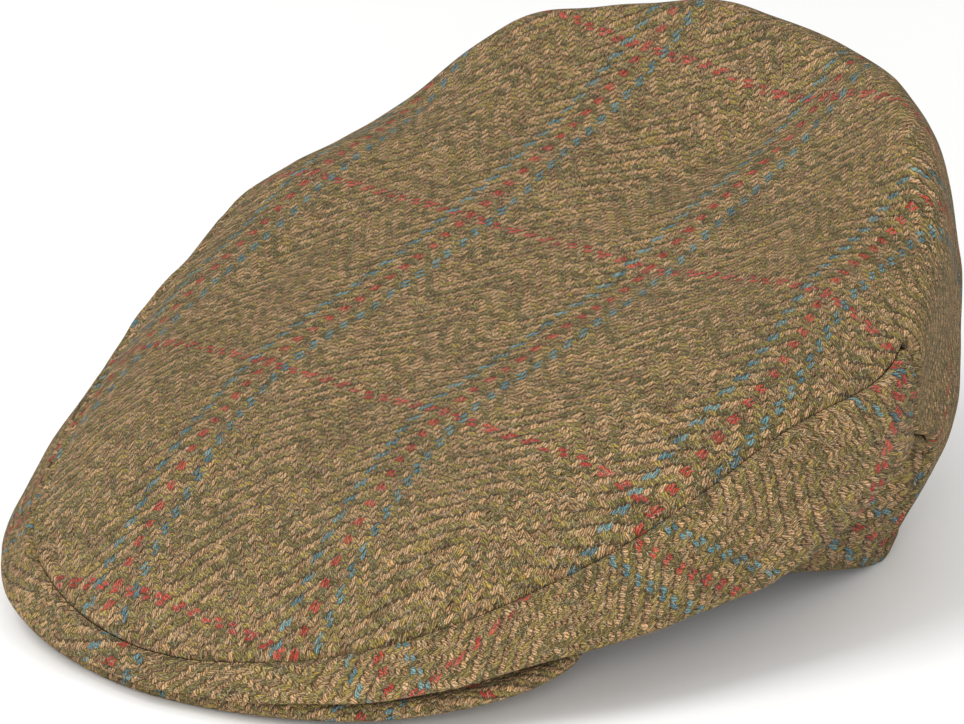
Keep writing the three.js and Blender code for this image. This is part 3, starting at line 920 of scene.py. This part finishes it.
        # Painted shade: where a float's height falls away (at its ends and edges, in the grooves between its plies, and
        # between floats), the colour gives way to the other yarn below, mixed 0.82 of the way to the dark gap brown.
        unshaded = add(tree, "ShaderNodeMapRange", {0: height, 1: 0.02, 2: 0.36, 3: 0.0, 4: 1.0}, interpolation_type="SMOOTHSTEP")
        under = add(tree, "ShaderNodeMix", {0: warp_up, 6: tan, 7: olive}, data_type="RGBA")
        under = add(tree, "ShaderNodeMix", {0: 0.82, 6: under.outputs[2], 7: linear(self.gap)}, data_type="RGBA")
        colour = add(tree, "ShaderNodeMix", {0: unshaded, 6: under.outputs[2], 7: colour.outputs[2]}, data_type="RGBA")
        colour = add(tree, "ShaderNodeMix", {0: hair, 6: colour.outputs[2], 7: linear(self.hair)}, data_type="RGBA")

        relief = add(tree, "ShaderNodeMath", {0: fibres, 1: 0.35, 2: height}, operation="MULTIPLY_ADD")
        relief = add(tree, "ShaderNodeMath", {0: hair, 1: 0.4, 2: relief}, operation="MULTIPLY_ADD")
        raised = add(tree, "ShaderNodeBump", {"Height": relief, "Distance": 0.45 * MM, "Strength": 1.0})
        surface = add(tree, "ShaderNodeBsdfPrincipled", {"Base Color": colour.outputs[2], "Normal": raised})
        surface.inputs["Roughness"].default_value = self.roughness
        surface.inputs["IOR"].default_value = self.ior
        surface.inputs["Specular IOR Level"].default_value = 0.12
        surface.inputs["Sheen Weight"].default_value = 0.05
        surface.inputs["Sheen Roughness"].default_value = 0.6
        add(tree, "ShaderNodeOutputMaterial", {0: surface})
        return material


@dataclass(frozen=True)
class WoolHair:
    """Loose wool fibre, as it stands out of carded yarn: fine, matt and of mixed shades."""

    dark: str = "735c35"
    pale: str = "c6ae84"
    roughness: float = 0.9

    def build(self) -> bpy.types.Material:
        """Makes the material.

        Returns:
            A material whose shade changes from hair to hair.
        """
        material = bpy.data.materials.new("loose_wool_hair")
        material.use_nodes = True
        tree = material.node_tree
        tree.nodes.clear()
        place = add(tree, "ShaderNodeNewGeometry")
        lot = add(tree, "ShaderNodeTexNoise", {"Vector": place.outputs["Position"], "Scale": 300.0})
        share = add(tree, "ShaderNodeMapRange", {0: lot, 1: 0.35, 2: 0.65})
        shade = add(tree, "ShaderNodeMix", {0: share, 6: linear(self.dark), 7: linear(self.pale)}, data_type="RGBA")
        surface = add(tree, "ShaderNodeBsdfPrincipled", {"Base Color": shade.outputs[2]})
        surface.inputs["Roughness"].default_value = self.roughness
        surface.inputs["Specular IOR Level"].default_value = 0.1
        add(tree, "ShaderNodeOutputMaterial", {0: surface})
        return material


@dataclass(frozen=True)
class Studio:
    """A pale table, soft lamps and the camera."""

    azimuth: float = 44.9
    elevation: float = 18.2
    tilt: float = -1.2
    distance: float = 2.412
    target: tuple[float, float, float] = (0.0078, -0.0125, 0.0632)
    lens: float = 331.6
    paper: str = "f8f8f7"

    def table(self) -> None:
        """The surface that the cap lies on."""
        side = 6.0
        corners = [(-side, -side, 0), (side, -side, 0), (side, side, 0), (-side, side, 0)]
        mesh = bpy.data.meshes.new("table")
        mesh.from_pydata(corners, [], [(0, 1, 2, 3)])
        table = bpy.data.objects.new("table", mesh)
        bpy.context.scene.collection.objects.link(table)
        material = bpy.data.materials.new("matt_paper")
        material.use_nodes = True
        surface = material.node_tree.nodes["Principled BSDF"]
        surface.inputs["Base Color"].default_value = linear(self.paper)
        surface.inputs["Roughness"].default_value = 0.85
        mesh.materials.append(material)

    def lamp(self, name: str, place: tuple[float, float, float], size: float, watts: float) -> None:
        """Adds one soft lamp that faces the cap.

        Args:
            name: Its name.
            place: Where it hangs, in metres.
            size: Side of its square, in metres.
            watts: Its power.
        """
        light = bpy.data.lights.new(name, "AREA")
        light.size = size
        light.energy = watts
        lamp = bpy.data.objects.new(name, light)
        lamp.location = place
        lamp.rotation_mode = "QUATERNION"
        lamp.rotation_quaternion = (Vector(place) - Vector(self.target)).to_track_quat("Z", "Y")
        bpy.context.scene.collection.objects.link(lamp)

    def light(self) -> None:
        """Even white light from all round, and two large lamps."""
        world = bpy.data.worlds.new("white_room")
        world.use_nodes = True
        world.node_tree.nodes["Background"].inputs[0].default_value = (1.0, 1.0, 1.0, 1.0)
        world.node_tree.nodes["Background"].inputs[1].default_value = 0.8
        bpy.context.scene.world = world
        bpy.context.scene.view_settings.view_transform = "Standard"
        self.lamp("lamp_above", (-0.2, -1.1, 1.6), 1.0, 15.0)
        self.lamp("lamp_front", (1.3, -1.4, 0.55), 0.9, 25.0)

    def camera(self) -> None:
        """Stands the camera at the photograph's angle."""
        a, e, t = (math.radians(v) for v in (self.azimuth, self.elevation, self.tilt))
        back = Vector((math.sin(a) * math.cos(e), -math.cos(a) * math.cos(e), math.sin(e)))
        level = Vector((math.cos(a), math.sin(a), 0))
        upright = back.cross(level)
        right = level * math.cos(t) + upright * math.sin(t)
        up = upright * math.cos(t) - level * math.sin(t)
        data = bpy.data.cameras.new("camera")
        data.lens = self.lens
        data.sensor_width = 36.0
        data.sensor_fit = "HORIZONTAL"
        data.clip_start, data.clip_end = 0.05, 50.0
        camera = bpy.data.objects.new("camera", data)
        place = Vector(self.target) + back * self.distance
        camera.matrix_world = Matrix.Translation(place) @ Matrix((right, up, back)).transposed().to_4x4()
        bpy.context.scene.collection.objects.link(camera)
        bpy.context.scene.camera = camera


def main() -> None:
    """Builds the studio and the cap."""
    studio = Studio()
    studio.camera()
    studio.table()
    studio.light()
    form = CapForm()
    detail = Detail.FULL
    TopPanel(form, detail).build(WoolTweed("herringbone_tweed_top").build())
    SidePanel(form, detail).build(WoolTweed("herringbone_tweed_side").build())
    Peak(form, detail).build(WoolTweed("herringbone_tweed_peak").build())


if __name__ == "__main__":
    main()
